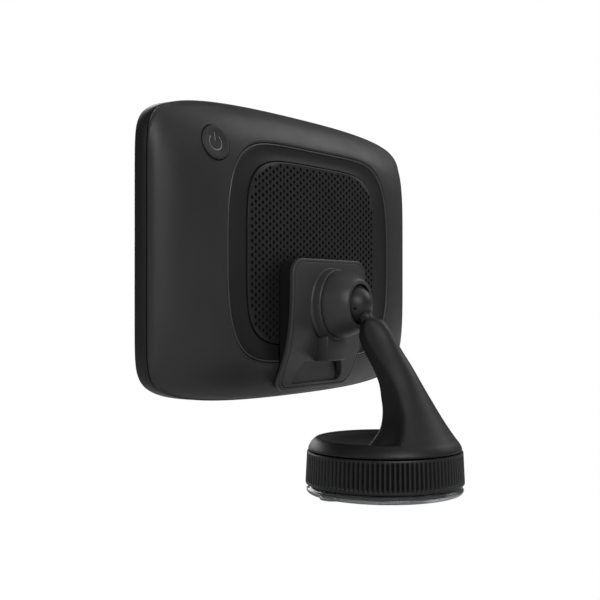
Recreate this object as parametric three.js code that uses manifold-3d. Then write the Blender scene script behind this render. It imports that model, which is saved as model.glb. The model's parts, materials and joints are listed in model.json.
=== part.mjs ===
// Portable GPS navigator on its dock, ball-joint arm and twist-lock suction base.
// Millimetres, +Z up, screen towards -Y, base axis on Z, suction face on z = 0.
import * as THREE from 'three';
import { mergeVertices } from 'three/addons/utils/BufferGeometryUtils.js';
import Module from 'manifold-3d';

const wasm = await Module();
wasm.setup();

// ---- driving sizes -------------------------------------------------------
const GAP = 0.3; // running or assembly gap between neighbouring pieces
const FIT = 0.1; // close fit between fixed pieces

const BODY_W = 144; // navigator width
const BODY_H = 90.5; // navigator height
const BODY_Z = 74; // height of the navigator's centre
const FRONT_Y = -38.45; // plane of the widest outline
const BAND = 3.85; // depth of the dark side band
const RISE = 13.2; // height of the rear rim behind the outline plane
const WALL = 1.8; // cover wall
const RIM_A = 47.4; // rear recess half width
const RIM_B = 33.7; // rear recess half height
const BAND_A = 9.9; // recess band beside the grille
const BAND_B = 5.3; // recess band above and below it
const RECESS = 1.2; // depth of the rear recess

const PAD_INSET = 0.3; // suction pad inside the ring's outer radius
const PAD_T = 2.6;
const RING_R = 24.7; // twist ring outside radius at its foot
const RING_TAPER = 0.5;
const RING_H = 10.1;
const RING_WALL = 3.4;
const RIBS = 104;
const RIB_DEPTH = 0.5;
const CAP_INSET = 0.8; // cap inside the ring's outer radius
const CAP_H = 4.3; // cap above the ring

const BALL_R = 6;
const BALL_Y = -11.2;
const BALL_Z = 58.2;
const STEM_R = 1.8;
const STEM_ANGLE = 40; // degrees below level, towards the arm
const STEM_L = 11; // ball centre to the stem's end inside the arm

const DOCK_A = 21.8; // dock half width
const DOCK_TOP = 72.6;
const DOCK_BOTTOM = 31.2;
const DOCK_WALL = 1.5;
const MAGNET_R = 4.2;

const LOCK_TURN = 90; // degrees of ring travel
const LOCK_LIFT = 2; // plunger lift over that travel

// ---- derived sizes -------------------------------------------------------
const A = BODY_W / 2;
const B = BODY_H / 2;
const GRILLE_A = RIM_A - BAND_A;
const GRILLE_B = RIM_B - BAND_B;
const PAD_R = RING_R - PAD_INSET;
const CAP_R = RING_R - CAP_INSET;
const RIM_Y = FRONT_Y + RISE;
const RECESS_Y = RIM_Y - RECESS; // recess floor
const COVER_IN_Y = RECESS_Y - 0.9; // inside of the cover behind the recess
const GLASS_Y = FRONT_Y + 0.05; // rear of the glass
const GLASS_T = 1;
const LCD_Y = GLASS_Y + GAP;
const LCD_T = 2.2;
const TRAY_Y = LCD_Y + LCD_T + GAP;
const TRAY_T = 1.4;
const BOARD_Y = TRAY_Y + TRAY_T + GAP;
const BOARD_T = 1;
const ON_BOARD_Y = BOARD_Y + BOARD_T + 0.2;
const RING_Z = PAD_T + GAP;
const RING_TOP = RING_Z + RING_H;
const RING_BORE = RING_R - RING_WALL;
const CAP_Z = RING_TOP + GAP;
const SPIGOT_Z = RING_TOP - 1;
const LINER = [BALL_R + 0.12, BALL_R + 0.5];
const FRICTION = [BALL_R + 0.62, BALL_R + 0.95];
const SEAT_R = BALL_R + 1.1;
const COLLAR_FOOT = -16.6; // rear face of the dock's flange, plus its gap
const WELL_Y = BALL_Y - BALL_R - 2.9; // floor of the spring's well
const WELL_R = SEAT_R + 1.5;
const DOCK_FACE_Y = RIM_Y + 0.35; // dock face against the navigator
const STEM_DIR = new THREE.Vector3(
  0,
  Math.cos(THREE.MathUtils.degToRad(STEM_ANGLE)),
  -Math.sin(THREE.MathUtils.degToRad(STEM_ANGLE)),
);

// ---- solids --------------------------------------------------------------
function flipped(index) {
  const out = [];
  for (let i = 0; i < index.length; i += 3) out.push(index[i], index[i + 2], index[i + 1]);
  return out;
}

// closed body facing out, whichever way its profile ran
function solid(geometry) {
  let g = geometry.clone();
  g.deleteAttribute('normal');
  g.deleteAttribute('uv');
  g = mergeVertices(g, 1e-4);
  const build = (index) => new wasm.Manifold(new wasm.Mesh({
    numProp: 3,
    vertProperties: new Float32Array(g.attributes.position.array),
    triVerts: new Uint32Array(index),
  }));
  const body = build(g.index.array);
  return body.volume() < 0 ? build(flipped(g.index.array)) : body;
}

function geometryOf(body) {
  const mesh = body.getMesh();
  const g = new THREE.BufferGeometry();
  g.setAttribute('position', new THREE.BufferAttribute(new Float32Array(mesh.vertProperties), 3));
  g.setIndex(new THREE.BufferAttribute(new Uint32Array(mesh.triVerts), 1));
  g.computeVertexNormals();
  return g;
}

const union = (...list) => list.reduce((a, b) => a.add(b));
const cut = (body, ...tools) => tools.reduce((a, b) => a.subtract(b), body);

// box from its two corners
function box(x0, x1, y0, y1, z0, z1) {
  const g = new THREE.BoxGeometry(x1 - x0, y1 - y0, z1 - z0);
  g.translate((x0 + x1) / 2, (y0 + y1) / 2, (z0 + z1) / 2);
  return solid(g);
}

// cylinder between two points
function rod(from, to, radius, seg = 20, endRadius = radius) {
  const a = new THREE.Vector3(...from);
  const b = new THREE.Vector3(...to);
  const g = new THREE.CylinderGeometry(endRadius, radius, a.distanceTo(b), seg);
  const dir = b.clone().sub(a).normalize();
  g.applyQuaternion(new THREE.Quaternion().setFromUnitVectors(new THREE.Vector3(0, 1, 0), dir));
  g.translate((a.x + b.x) / 2, (a.y + b.y) / 2, (a.z + b.z) / 2);
  return solid(g);
}

// profile of [radius, height] turned about Z
function turnedZ(profile, seg = 48) {
  const g = new THREE.LatheGeometry(profile.map((p) => new THREE.Vector2(...p)), seg);
  g.rotateX(Math.PI / 2);
  return solid(g);
}

// profile of [radius, y] turned about the ball's own Y axis
function turnedY(profile, seg = 36, x = 0, z = BALL_Z) {
  const g = new THREE.LatheGeometry(profile.map((p) => new THREE.Vector2(...p)), seg);
  g.translate(x, 0, z);
  return solid(g);
}

// the outline without the points that lie on a straight run
function cornersOnly(outline) {
  const n = outline.length;
  return outline.filter(([x, y], i) => {
    const [px, py] = outline[(i + n - 1) % n];
    const [qx, qy] = outline[(i + 1) % n];
    return Math.abs((x - px) * (qy - y) - (y - py) * (qx - x)) > 1e-3;
  });
}

// outline of [x, z] pushed from y0 to y1
function platY(outline, y0, y1) {
  const shape = new THREE.Shape(cornersOnly(outline).map((p) => new THREE.Vector2(...p)));
  const g = new THREE.ExtrudeGeometry(shape, { depth: y1 - y0, bevelEnabled: false });
  g.applyMatrix4(new THREE.Matrix4().makeBasis(
    new THREE.Vector3(1, 0, 0), new THREE.Vector3(0, 0, 1), new THREE.Vector3(0, -1, 0)));
  g.translate(0, y1, 0);
  return solid(g);
}

// outline of [y, z] pushed from x0 to x1
function platX(outline, x0, x1) {
  const shape = new THREE.Shape(outline.map((p) => new THREE.Vector2(...p)));
  const g = new THREE.ExtrudeGeometry(shape, { depth: x1 - x0, bevelEnabled: false });
  g.applyMatrix4(new THREE.Matrix4().makeBasis(
    new THREE.Vector3(0, 1, 0), new THREE.Vector3(0, 0, 1), new THREE.Vector3(1, 0, 0)));
  g.translate(x0, 0, 0);
  return solid(g);
}

function skin(rings, closed) {
  const n = rings[0].length;
  const index = [];
  const bands = closed ? rings.length : rings.length - 1;
  for (let r = 0; r < bands; r += 1) {
    const next = ((r + 1) % rings.length) * n;
    for (let i = 0; i < n; i += 1) {
      const j = (i + 1) % n;
      index.push(r * n + i, r * n + j, next + i, r * n + j, next + j, next + i);
    }
  }
  return index;
}

function meshOf(rings, index) {
  const g = new THREE.BufferGeometry();
  g.setAttribute('position', new THREE.Float32BufferAttribute(rings.flat(2), 3));
  g.setIndex(index);
  return solid(g);
}

// rings of equal point count skinned into a hoop, the last joined to the first
const hoop = (rings) => meshOf(rings, skin(rings, true));

// rings of equal point count skinned and capped
function loft(rings) {
  const n = rings[0].length;
  const index = skin(rings, false);
  const last = (rings.length - 1) * n;
  for (let i = 1; i + 1 < n; i += 1) {
    index.push(0, i + 1, i);
    index.push(last, last + i, last + i + 1);
  }
  return meshOf(rings, index);
}

// ---- curves --------------------------------------------------------------
// one quarter of the squared oval |x|^nx + |z|^nz = 1, by direction from x to z
function ovalQuarter(nx, nz, steps = 180) {
  const points = [];
  for (let i = 0; i <= steps; i += 1) {
    const t = (i / steps) * (Math.PI / 2);
    const u = Math.cos(t);
    const v = Math.sin(t);
    let lo = 0.5;
    let hi = 1.6;
    for (let k = 0; k < 30; k += 1) {
      const mid = (lo + hi) / 2;
      if ((mid * u) ** nx + (mid * v) ** nz > 1) hi = mid;
      else lo = mid;
    }
    points.push([lo * u, lo * v]);
  }
  return points;
}

// progress along a curve, half by length and half by turning
function progress(points) {
  const run = [0];
  const turn = [0];
  let last = null;
  for (let i = 1; i < points.length; i += 1) {
    const dx = points[i][0] - points[i - 1][0];
    const dz = points[i][1] - points[i - 1][1];
    const heading = Math.atan2(dz, dx);
    run.push(run[i - 1] + Math.hypot(dx, dz));
    turn.push(turn[i - 1] + (last === null ? 0 : Math.abs(heading - last)));
    last = heading;
  }
  return run.map((r, i) => 0.4 * (r / run.at(-1)) + 0.6 * (turn[i] / turn.at(-1)));
}

// squared oval of half width a and half height b, closest together at its corners
function oval(a, b, nx, nz, count = 64) {
  const dense = ovalQuarter(nx, nz);
  const share = progress(dense);
  const perQuarter = count / 4;
  const quarter = [];
  for (let k = 0; k < perQuarter; k += 1) {
    const want = (k + 0.5) / perQuarter;
    const i = Math.max(1, share.findIndex((s) => s >= want));
    const f = (want - share[i - 1]) / (share[i] - share[i - 1]);
    quarter.push([a * mix(dense[i - 1][0], dense[i][0], f), b * mix(dense[i - 1][1], dense[i][1], f)]);
  }
  const back = [...quarter].reverse();
  return [
    ...quarter,
    ...back.map(([x, z]) => [-x, z]),
    ...quarter.map(([x, z]) => [-x, -z]),
    ...back.map(([x, z]) => [x, -z]),
  ];
}

const mix = (a, b, t) => a + (b - a) * t;

// rear cover shape from the side band (t = 0) to the recess rim (t = 1)
const COVER_STEPS = [
  [0, BAND + 0.2, 0, 0],
  [0.1, 0.43, 0.04, 0.05],
  [0.26, 0.58, 0.14, 0.18],
  [0.46, 0.74, 0.31, 0.37],
  [0.66, 0.88, 0.56, 0.61],
  [0.84, 0.965, 0.79, 0.82],
  [1, 1, 0.985, 0.985],
];

function coverRing(t, inset = 0, count = 64) {
  const i = Math.min(COVER_STEPS.length - 2, Math.max(0, COVER_STEPS.findIndex((s) => s[0] > t) - 1));
  const at = t >= 1 ? COVER_STEPS.length - 2 : i;
  const lo = COVER_STEPS[at];
  const hi = COVER_STEPS[at + 1];
  const k = (t - lo[0]) / (hi[0] - lo[0]);
  const start = BAND + 0.2;
  const depth = (s, first) => (first ? start : s[1] * RISE);
  const d = mix(depth(lo, at === 0), depth(hi, false), k);
  const a = mix(A, RIM_A, mix(lo[2], hi[2], k));
  const b = mix(B, RIM_B, mix(lo[3], hi[3], k));
  const nx = 1 / mix(1 / 2.6, 1 / 6.2, t);
  const nz = 1 / mix(1 / 13, 1 / 3, t);
  return { y: FRONT_Y + d, a: a - inset, b: b - inset, nx, nz, count };
}

const ringPoints = (r, y = r.y) =>
  oval(r.a, r.b, r.nx, r.nz, r.count).map(([x, z]) => [x, y, z + BODY_Z]);

function coverBody(offset, startDrop, count = 64, steps = COVER_STEPS.map((s) => s[0])) {
  const rings = steps.map((t) => {
    const r = coverRing(t, -offset, count);
    return ringPoints(r, r.y + offset);
  });
  const first = coverRing(0, -offset, count);
  if (startDrop > 0) rings.unshift(ringPoints(first, first.y - startDrop));
  return loft(rings);
}

const onBody = (outline) => outline.map(([x, z]) => [x, z + BODY_Z]);

// a slab with the navigator's own outline
function slab(inset, y0, y1, count = 48) {
  return platY(onBody(oval(A - inset, B - inset, 2.6, 13, count)), y0, y1);
}

function plateOval(a, b, nx, nz, y0, y1, count = 48) {
  return platY(onBody(oval(a, b, nx, nz, count)), y0, y1);
}

// height of the cover's outer surface at (x, z from the centre)
function coverY(x, z) {
  let lo = 0;
  let hi = 1;
  for (let k = 0; k < 40; k += 1) {
    const t = (lo + hi) / 2;
    const r = coverRing(t);
    if (Math.abs(x / r.a) ** r.nx + Math.abs(z / r.b) ** r.nz > 1) hi = t;
    else lo = t;
  }
  return coverRing(lo).y;
}

// ---- navigator -----------------------------------------------------------
const BUTTON_X = 51;
const BUTTON_Z = 31;
const BUTTON_R = 5.1;
const BUTTON_TRAVEL = 0.5;
const SPEAKER_Z = BODY_Z + 12;
const SPEAKER_R = 13;
const BOSS = [60, 23];
const CONTACT_Z = BODY_Z - (RIM_B + GRILLE_B) / 2;

function buttonFrame() {
  const e = 1;
  const y = coverY(BUTTON_X, BUTTON_Z);
  const dx = (coverY(BUTTON_X + e, BUTTON_Z) - coverY(BUTTON_X - e, BUTTON_Z)) / (2 * e);
  const dz = (coverY(BUTTON_X, BUTTON_Z + e) - coverY(BUTTON_X, BUTTON_Z - e)) / (2 * e);
  const normal = new THREE.Vector3(-dx, 1, -dz).normalize();
  return { centre: new THREE.Vector3(BUTTON_X, y, BODY_Z + BUTTON_Z), normal };
}

const BUTTON = buttonFrame();
const alongButton = (h) => BUTTON.centre.clone().addScaledVector(BUTTON.normal, h).toArray();
const buttonRod = (h0, h1, r, seg = 28) => rod(alongButton(h0), alongButton(h1), r, seg);

function corners(x, z) {
  return [[x, z], [-x, z], [-x, -z], [x, -z]];
}

function touchGlass() {
  return slab(1.5, GLASS_Y - GLASS_T, GLASS_Y);
}

function frontFrame() {
  const edge = FRONT_Y - 0.7;
  const back = FRONT_Y + BAND;
  const seat = GLASS_Y + 0.1;
  const section = [[0.8, edge], [0.25, edge + 0.25], [0, FRONT_Y], [0.1, back], [3.2, back],
    [3.2, seat], [1.35, seat], [1.35, edge]];
  return hoop(section.map(([inset, y]) =>
    oval(A - inset, B - inset, 2.6, 13, 48).map(([x, z]) => [x, y, z + BODY_Z])));
}

function lcdModule() {
  return box(-57.5, 57.5, LCD_Y, LCD_Y + LCD_T, BODY_Z - 36, BODY_Z + 36);
}

function midFrame() {
  const plate = plateOval(A - 5.4, B - 5.4, 4, 4, TRAY_Y, TRAY_Y + TRAY_T, 40);
  const holes = corners(...BOSS).map(([x, z]) =>
    rod([x, TRAY_Y - 1, z + BODY_Z], [x, TRAY_Y + 3, z + BODY_Z], 1.1, 12));
  const window = box(-24, 24, TRAY_Y - 1, TRAY_Y + 3, BODY_Z + 6, BODY_Z + 26);
  return cut(plate, ...holes, window);
}

function caseScrew(x, z) {
  const at = z + BODY_Z;
  const head = rod([x, TRAY_Y - 0.8, at], [x, TRAY_Y - 0.1, at], 2, 16);
  const shank = rod([x, TRAY_Y - 0.3, at], [x, TRAY_Y + 4.4, at], 0.95, 12);
  return union(head, shank);
}

function backCover() {
  const inner = coverBody(-WALL, 1, 32, [0, 0.26, 0.66, 1]);
  const keep = box(-A, A, FRONT_Y - 10, COVER_IN_Y, BODY_Z - B, BODY_Z + B);
  const recess = plateOval(RIM_A, RIM_B, 6.2, 3, RECESS_Y, RIM_Y + 5);
  const shell = cut(coverBody(0, 0, 48), inner.intersect(keep), recess);
  const bossY = TRAY_Y + TRAY_T + 0.1;
  const bosses = corners(...BOSS).map(([x, z]) =>
    rod([x, bossY, z + BODY_Z], [x, coverY(x, z) - 0.9, z + BODY_Z], 2.6, 16));
  const bores = corners(...BOSS).map(([x, z]) =>
    rod([x, bossY - 1, z + BODY_Z], [x, bossY + 5, z + BODY_Z], 1.05, 12));
  const sound = rod([0, COVER_IN_Y - 3, SPEAKER_Z], [0, RIM_Y + 3, SPEAKER_Z], SPEAKER_R - 2, 32);
  const contacts = box(-7.2, 7.2, -32, RIM_Y + 3, CONTACT_Z - 2.2, CONTACT_Z + 2.2);
  const button = buttonRod(-3, 3, BUTTON_R + 0.3);
  const flange = buttonRod(-6, -1.6, BUTTON_R + 1.6);
  return cut(union(shell, ...bosses), ...bores, sound, contacts, button, flange);
}

function recessRing() {
  const band = plateOval(RIM_A - 0.25, RIM_B - 0.25, 6.2, 3, RECESS_Y + FIT, RIM_Y - 0.35);
  const hole = plateOval(GRILLE_A + 0.25, GRILLE_B + 0.25, 4.8, 4.8, RECESS_Y - 1, RIM_Y + 1);
  const contacts = box(-7.2, 7.2, -32, RIM_Y + 3, CONTACT_Z - 2.2, CONTACT_Z + 2.2);
  return cut(band, hole, contacts);
}

function speakerGrille() {
  return plateOval(GRILLE_A, GRILLE_B, 4.8, 4.8, RECESS_Y + FIT, RIM_Y + 0.05);
}

function speakerDriver() {
  const back = ON_BOARD_Y + 0.1;
  const front = COVER_IN_Y - 1.3;
  const r = SPEAKER_R;
  return turnedY([[0, back], [r * 0.6, back], [r * 0.6, back + 1.6], [r, back + 2.4], [r, front],
    [r * 0.82, front], [r * 0.35, front - 1], [0, front - 0.6]], 40, 0, SPEAKER_Z);
}

function speakerGasket() {
  const y0 = COVER_IN_Y - 1.2;
  const y1 = COVER_IN_Y - FIT;
  const r = SPEAKER_R;
  return turnedY([[r - 1.8, y0], [r, y0], [r, y1], [r - 1.8, y1], [r - 1.8, y0]], 40, 0, SPEAKER_Z);
}

function mainBoard() {
  const board = box(-53, 53, BOARD_Y, BOARD_Y + BOARD_T, BODY_Z - 8, BODY_Z + 34);
  const notches = corners(...BOSS).map(([x, z]) =>
    rod([x, BOARD_Y - 1, z + BODY_Z], [x, BOARD_Y + 3, z + BODY_Z], 3.2, 16));
  return cut(board, ...notches);
}

function rfShield() {
  const can = box(-46, -20, ON_BOARD_Y, ON_BOARD_Y + 1.8, BODY_Z - 3, BODY_Z + 23);
  return cut(can, box(-45.6, -20.4, ON_BOARD_Y - 1, ON_BOARD_Y + 1.4, BODY_Z - 2.6, BODY_Z + 22.6));
}

function processorChip() {
  return box(-40, -26, ON_BOARD_Y - 0.1, ON_BOARD_Y + 1, BODY_Z + 3, BODY_Z + 17);
}

function patchAntenna() {
  return box(18, 34, ON_BOARD_Y, ON_BOARD_Y + 3, BODY_Z + 14, BODY_Z + 30);
}

function battery() {
  return box(-34, 34, BOARD_Y, BOARD_Y + 4, BODY_Z - 35, BODY_Z - 11);
}

function keeperPlate() {
  return box(-20, 20, COVER_IN_Y - 0.9, COVER_IN_Y - FIT, BODY_Z - 27, SPEAKER_Z - SPEAKER_R - 1);
}

function contactBlock() {
  const z = CONTACT_Z;
  const block = box(-7, 7, COVER_IN_Y - 1.5, RIM_Y - 0.4, z - 2, z + 2);
  const flange = box(-8.4, 8.4, COVER_IN_Y - 1.5, COVER_IN_Y - FIT, z - 2, z + 3);
  return union(block, flange);
}

function powerButton() {
  const cap = buttonRod(-2.6, 0.2, BUTTON_R);
  const flange = buttonRod(-2.6, -2, BUTTON_R + 1.2);
  const nub = buttonRod(-3.3, -2.4, 1.4, 12);
  return union(cap, flange, nub);
}

function powerSwitch() {
  const [x, , z] = alongButton(-4);
  return box(x - 3, x + 3, ON_BOARD_Y - 0.1, ON_BOARD_Y + 1, z - 3, z + 3);
}

// ---- dock ----------------------------------------------------------------
// rear face of the dock against height
const DOCK_CURVE = [
  [-19.6, DOCK_TOP + 1], [-19.65, 62], [-19.9, 55], [-20.6, 49], [-21.6, 44],
  [-22.9, 40], [-24.2, 36.6], [-25.5, 33.6], [-26.8, DOCK_BOTTOM - 1],
];

// the curve, kept off the navigator's back wherever that stands further out
function dockY(z) {
  const clear = coverY(0, z - BODY_Z) + GAP + DOCK_WALL;
  for (let i = 0; i + 1 < DOCK_CURVE.length; i += 1) {
    const [y0, z0] = DOCK_CURVE[i];
    const [y1, z1] = DOCK_CURVE[i + 1];
    if (z <= z0 && z >= z1) return Math.max(clear, mix(y0, y1, (z0 - z) / (z0 - z1)));
  }
  return Math.max(clear, DOCK_CURVE[0][0]);
}

function dockOutline(inset) {
  const a = DOCK_A - inset;
  const top = DOCK_TOP - inset;
  const bottom = DOCK_BOTTOM + inset;
  const r = 5.5 - inset;
  const points = [];
  for (const [cx, cz, start] of [[a - r, top - r, 0], [r - a, top - r, 90],
    [r - a, bottom + r, 180], [a - r, bottom + r, 270]]) {
    for (let k = 0; k <= 5; k += 1) {
      const t = THREE.MathUtils.degToRad(start + k * 18);
      points.push([cx + r * Math.cos(t), cz + r * Math.sin(t)]);
    }
  }
  return points;
}

function dockLayer(rear, front) {
  const curve = DOCK_CURVE.map(([, z]) => [dockY(z), z]);
  const back = curve.map(([y, z]) => [y + rear, z]);
  const fore = curve.map(([y, z]) => [Math.min(y + rear - 0.2, front(y)), z]).reverse();
  return platX([...back, ...fore], -DOCK_A - 2, DOCK_A + 2);
}

// where a plug's finger room is cut into the dock's foot
function plugPocket() {
  const y0 = -28;
  const outline = [[-11, 40.2], [11, 40.2], [13.4, 37], [14.6, 34.4], [13.6, 33.2],
    [-13.6, 33.2], [-14.6, 34.4], [-13.4, 37]];
  const floor = platX([[-15, 42], [-24.6, 42], [-25.9, 38.5], [-26.6, 33.6], [-25.6, 32.2], [-15, 30]],
    -20, 20);
  return platY(outline, y0, -10).intersect(floor);
}

function dockRearShell() {
  const plate = dockLayer(0, (y) => y - DOCK_WALL).intersect(platY(dockOutline(0), -40, -10));
  const top = COLLAR_FOOT - GAP;
  const flange = turnedY([[0, WELL_Y - 0.8], [SEAT_R + 4.3, WELL_Y - 0.8], [SEAT_R + 4.2, top - 0.4],
    [SEAT_R + 3.8, top], [0, top]]);
  const tunnel = box(-5.6, 5.6, -22.2, -17.3, 40.2, BALL_Z - 9.5);
  const well = turnedY([[0, WELL_Y], [WELL_R, WELL_Y], [WELL_R, top + 1], [0, top + 1]]);
  const socketBay = box(-4.2, 4.2, -23.5, -18.3, 39, 45.8);
  const body = cut(union(plate, flange, tunnel), well, socketBay, plugPocket());
  return cut(body, ...dockScrewSites().map(([x, z]) =>
    rod([x, dockY(z) - 3, z], [x, dockY(z) - 0.5, z], 1, 12)));
}

function dockScrewSites() {
  return [[17.2, DOCK_TOP - 5], [-17.2, DOCK_TOP - 5], [-17.8, 42.5], [17.8, 42.5]];
}

// the dock face follows the navigator's back with a gap
const navigatorClearance = () => coverBody(0.35, 3, 48);

function dockFrontShell() {
  const block = dockLayer(-DOCK_WALL - 0.15, () => -36).intersect(platY(dockOutline(0.5), -40, -10));
  const bay = box(-18.6, 18.6, DOCK_FACE_Y + 0.8, -15, 44.2, DOCK_TOP - 8.4);
  const pins = box(-6.2, 6.2, -30, -15, CONTACT_Z - 1.8, CONTACT_Z + 1.8);
  const holes = dockScrewSites().flatMap(([x, z]) => [
    rod([x, -30, z], [x, -15, z], 1.05, 12),
    rod([x, -30, z], [x, DOCK_FACE_Y + 0.75, z], 1.9, 16),
  ]);
  return cut(block, navigatorClearance(), bay, pins, plugPocket(), ...holes);
}

function dockScrew(x, z) {
  const head = rod([x, DOCK_FACE_Y + 0.1, z], [x, DOCK_FACE_Y + 0.7, z], 1.7, 16);
  const shank = rod([x, DOCK_FACE_Y + 0.5, z], [x, dockY(z) - 0.6, z], 0.9, 12);
  return union(head, shank);
}

const MAGNET_SITES = [[13.4, 59.4], [-13.4, 59.4], [-13.4, 49.8], [13.4, 49.8]];

function dockMagnet(x, z) {
  const y = DOCK_FACE_Y + 0.9;
  return rod([x, y, z], [x, dockY(z - MAGNET_R) - DOCK_WALL - 0.2, z], MAGNET_R, 24);
}

function dockBoard() {
  const y = DOCK_FACE_Y + 0.9;
  return box(-8.6, 8.6, y, y + 0.8, 44.6, 60);
}

function pinBlock() {
  const low = CONTACT_Z - 1.6;
  return box(-6, 6, RIM_Y - 0.15, dockY(low) - DOCK_WALL - 0.15, low, CONTACT_Z + 1.6);
}

function usbSocket() {
  const shell = box(-4, 4, -21.2, -18.5, 40.9, 45.6);
  return cut(shell, box(-3.6, 3.6, -20.8, -18.9, 40, 45));
}

function pressurePad() {
  const b = BALL_Y - BALL_R;
  return turnedY([[0, b - 1.9], [WELL_R - 0.4, b - 1.9], [WELL_R - 0.4, b - 1], [2.6, b - 0.9], [2.6, b - 0.25],
    [0, b - 0.25]]);
}

function pressureSpring() {
  const b = BALL_Y - BALL_R;
  return turnedY([[5.2, b - 2.75], [8, b - 2.75], [8, b - 2.2], [5.2, b - 2.2], [5.2, b - 2.75]]);
}

function socketCollar() {
  const arc = [];
  for (let k = 0; k <= 5; k += 1) {
    const y = (k / 5) * 2.55;
    arc.push([Math.sqrt(SEAT_R ** 2 - y ** 2), BALL_Y + y]);
  }
  const outside = [[0.1, 2.7], [0.8, 2.5], [1.9, 0.9], [2.85, -1.2], [3.5, -3.4], [3.8, -5.1]]
    .map(([wall, y]) => [SEAT_R + wall, BALL_Y + y]);
  const foot = [SEAT_R, COLLAR_FOOT];
  return turnedY([foot, ...arc, ...outside, [SEAT_R + 3.6, COLLAR_FOOT], foot]);
}

// part of a hollow sphere, by angle from the socket axis
function zone([inner, outer], from, to) {
  const points = [];
  for (let k = 0; k <= 3; k += 1) {
    const t = THREE.MathUtils.degToRad(mix(from, to, k / 3));
    points.push([outer * Math.sin(t), BALL_Y + outer * Math.cos(t)]);
  }
  for (let k = 3; k >= 0; k -= 1) {
    const t = THREE.MathUtils.degToRad(mix(from, to, k / 3));
    points.push([inner * Math.sin(t), BALL_Y + inner * Math.cos(t)]);
  }
  points.push(points[0]);
  return turnedY(points, 30);
}

const ballLiner = () => zone(LINER, 78, 112);
const frictionRing = () => zone(FRICTION, 80, 114);

// ---- arm and base --------------------------------------------------------
// the arm's section at each height: front face, front corner, side ridge and back, with the
// angle at which the rounded back leaves the ridge
// [height, front y, corner x, corner y, ridge x, ridge y, back y, degrees]
const ARM = [
  [CAP_Z + 0.4, -1, 13, 3, 18.3, 15.2, 23.7, 41],
  [15.4, 0, 12.5, 3, 17.8, 14.9, 23.1, 40.5],
  [17.2, 1.4, 11.4, 3.2, 16.8, 14.4, 21.9, 40],
  [18.8, 2.4, 10.4, 3.6, 15.1, 13.9, 20.3, 38],
  [21, 3.2, 9.6, 4.2, 13.1, 13.3, 18.9, 36],
  [24.6, 3.4, 9, 5, 10.7, 12.4, 16.9, 32],
  [29.4, 2.6, 7.8, 3.8, 8.6, 10.1, 14.3, 28],
  [34, 1.2, 6.6, 2.2, 7.2, 7.2, 11.8, 25],
  [38.8, -1.4, 5.9, -0.6, 6.5, 3.7, 9, 26],
  [43.6, -4.6, 5.3, -4, 5.9, -0.3, 5.8, 28],
  [47.6, -6.6, 4.9, -6.1, 5.4, -3.4, 3.3, 30],
  [50.6, -6.8, 4.4, -6.3, 5, -4.5, 1.4, 30],
  [52.4, -6.4, 3.6, -6, 4.1, -4.7, -0.4, 25],
  [53.6, -5.7, 2.2, -5.4, 2.6, -4.5, -2.6, 20],
];

function armSection([z, front, cornerX, cornerY, ridgeX, ridgeY, back, lean]) {
  const start = THREE.MathUtils.degToRad(lean);
  const half = [[cornerX * 0.45, front], [cornerX * 0.8, mix(front, cornerY, 0.3)],
    [cornerX, cornerY], [mix(cornerX, ridgeX, 0.5), mix(cornerY, ridgeY, 0.5)]];
  for (let k = 0; k <= 5; k += 1) {
    const t = mix(start, Math.PI / 2 - 0.1, k / 5);
    half.push([(ridgeX * Math.cos(t)) / Math.cos(start),
      ridgeY + ((back - ridgeY) * (Math.sin(t) - Math.sin(start))) / (1 - Math.sin(start))]);
  }
  const other = half.map(([x, y]) => [-x, y]).reverse();
  return [...half, ...other].map(([x, y]) => [x, y, z]);
}

const armBlade = () => loft(ARM.map(armSection));

function stemPoint(d) {
  return [0, BALL_Y + STEM_DIR.y * d, BALL_Z + STEM_DIR.z * d];
}

const SCREW_X = 4.7;

function mountArm() {
  const top = CAP_Z + CAP_H;
  const cap = turnedZ([[0, SPIGOT_Z], [RING_BORE - GAP - 0.1, SPIGOT_Z], [RING_BORE - GAP - 0.1, CAP_Z],
    [CAP_R, CAP_Z], [CAP_R, CAP_Z + 0.8], [CAP_R - 0.5, top - 1.6], [CAP_R - 1.4, top - 0.4],
    [CAP_R - 2.5, top], [CAP_R - 3.8, top - 0.2], [CAP_R - 6.5, top - 1.3], [12, top - 2.4],
    [0, top - 2.9]], 56);
  const rise = rod([0, 0, SPIGOT_Z - 1], [0, 0, SPIGOT_Z + 1.5], 3.5);
  const stem = rod(stemPoint(5), stemPoint(STEM_L + FIT), STEM_R + 0.05);
  const screws = [1, -1].map((s) => rod([s * SCREW_X, 0, 8], [s * SCREW_X, 0, SPIGOT_Z + 2.1], 0.95, 12));
  return cut(union(cap, armBlade()), rise, stem, ...screws);
}

function ballStud() {
  const ball = new THREE.SphereGeometry(BALL_R, 30, 20);
  ball.translate(0, BALL_Y, BALL_Z);
  return union(solid(ball), rod(stemPoint(BALL_R - 0.5), stemPoint(STEM_L), STEM_R));
}

function ribbedRing() {
  const count = RIBS * 2;
  const level = (z, r, depth) => {
    const ring = [];
    for (let i = 0; i < count; i += 1) {
      const t = (i / count) * 2 * Math.PI;
      const rr = r - (i % 2 ? depth : 0);
      ring.push([rr * Math.cos(t), rr * Math.sin(t), z]);
    }
    return ring;
  };
  const top = RING_R - RING_TAPER;
  return loft([
    level(RING_Z, RING_R - 0.5, 0),
    level(RING_Z + 0.5, RING_R, RIB_DEPTH),
    level(RING_TOP - 0.4, top, RIB_DEPTH),
    level(RING_TOP, top - 0.4, 0),
  ]);
}

const WEB_Z = RING_Z + 1.7;
const CAM_IN = 6.4;
const CAM_OUT = 9;
const PIN_Z = WEB_Z + 2.6;
const PIN_R = 0.9;

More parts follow.
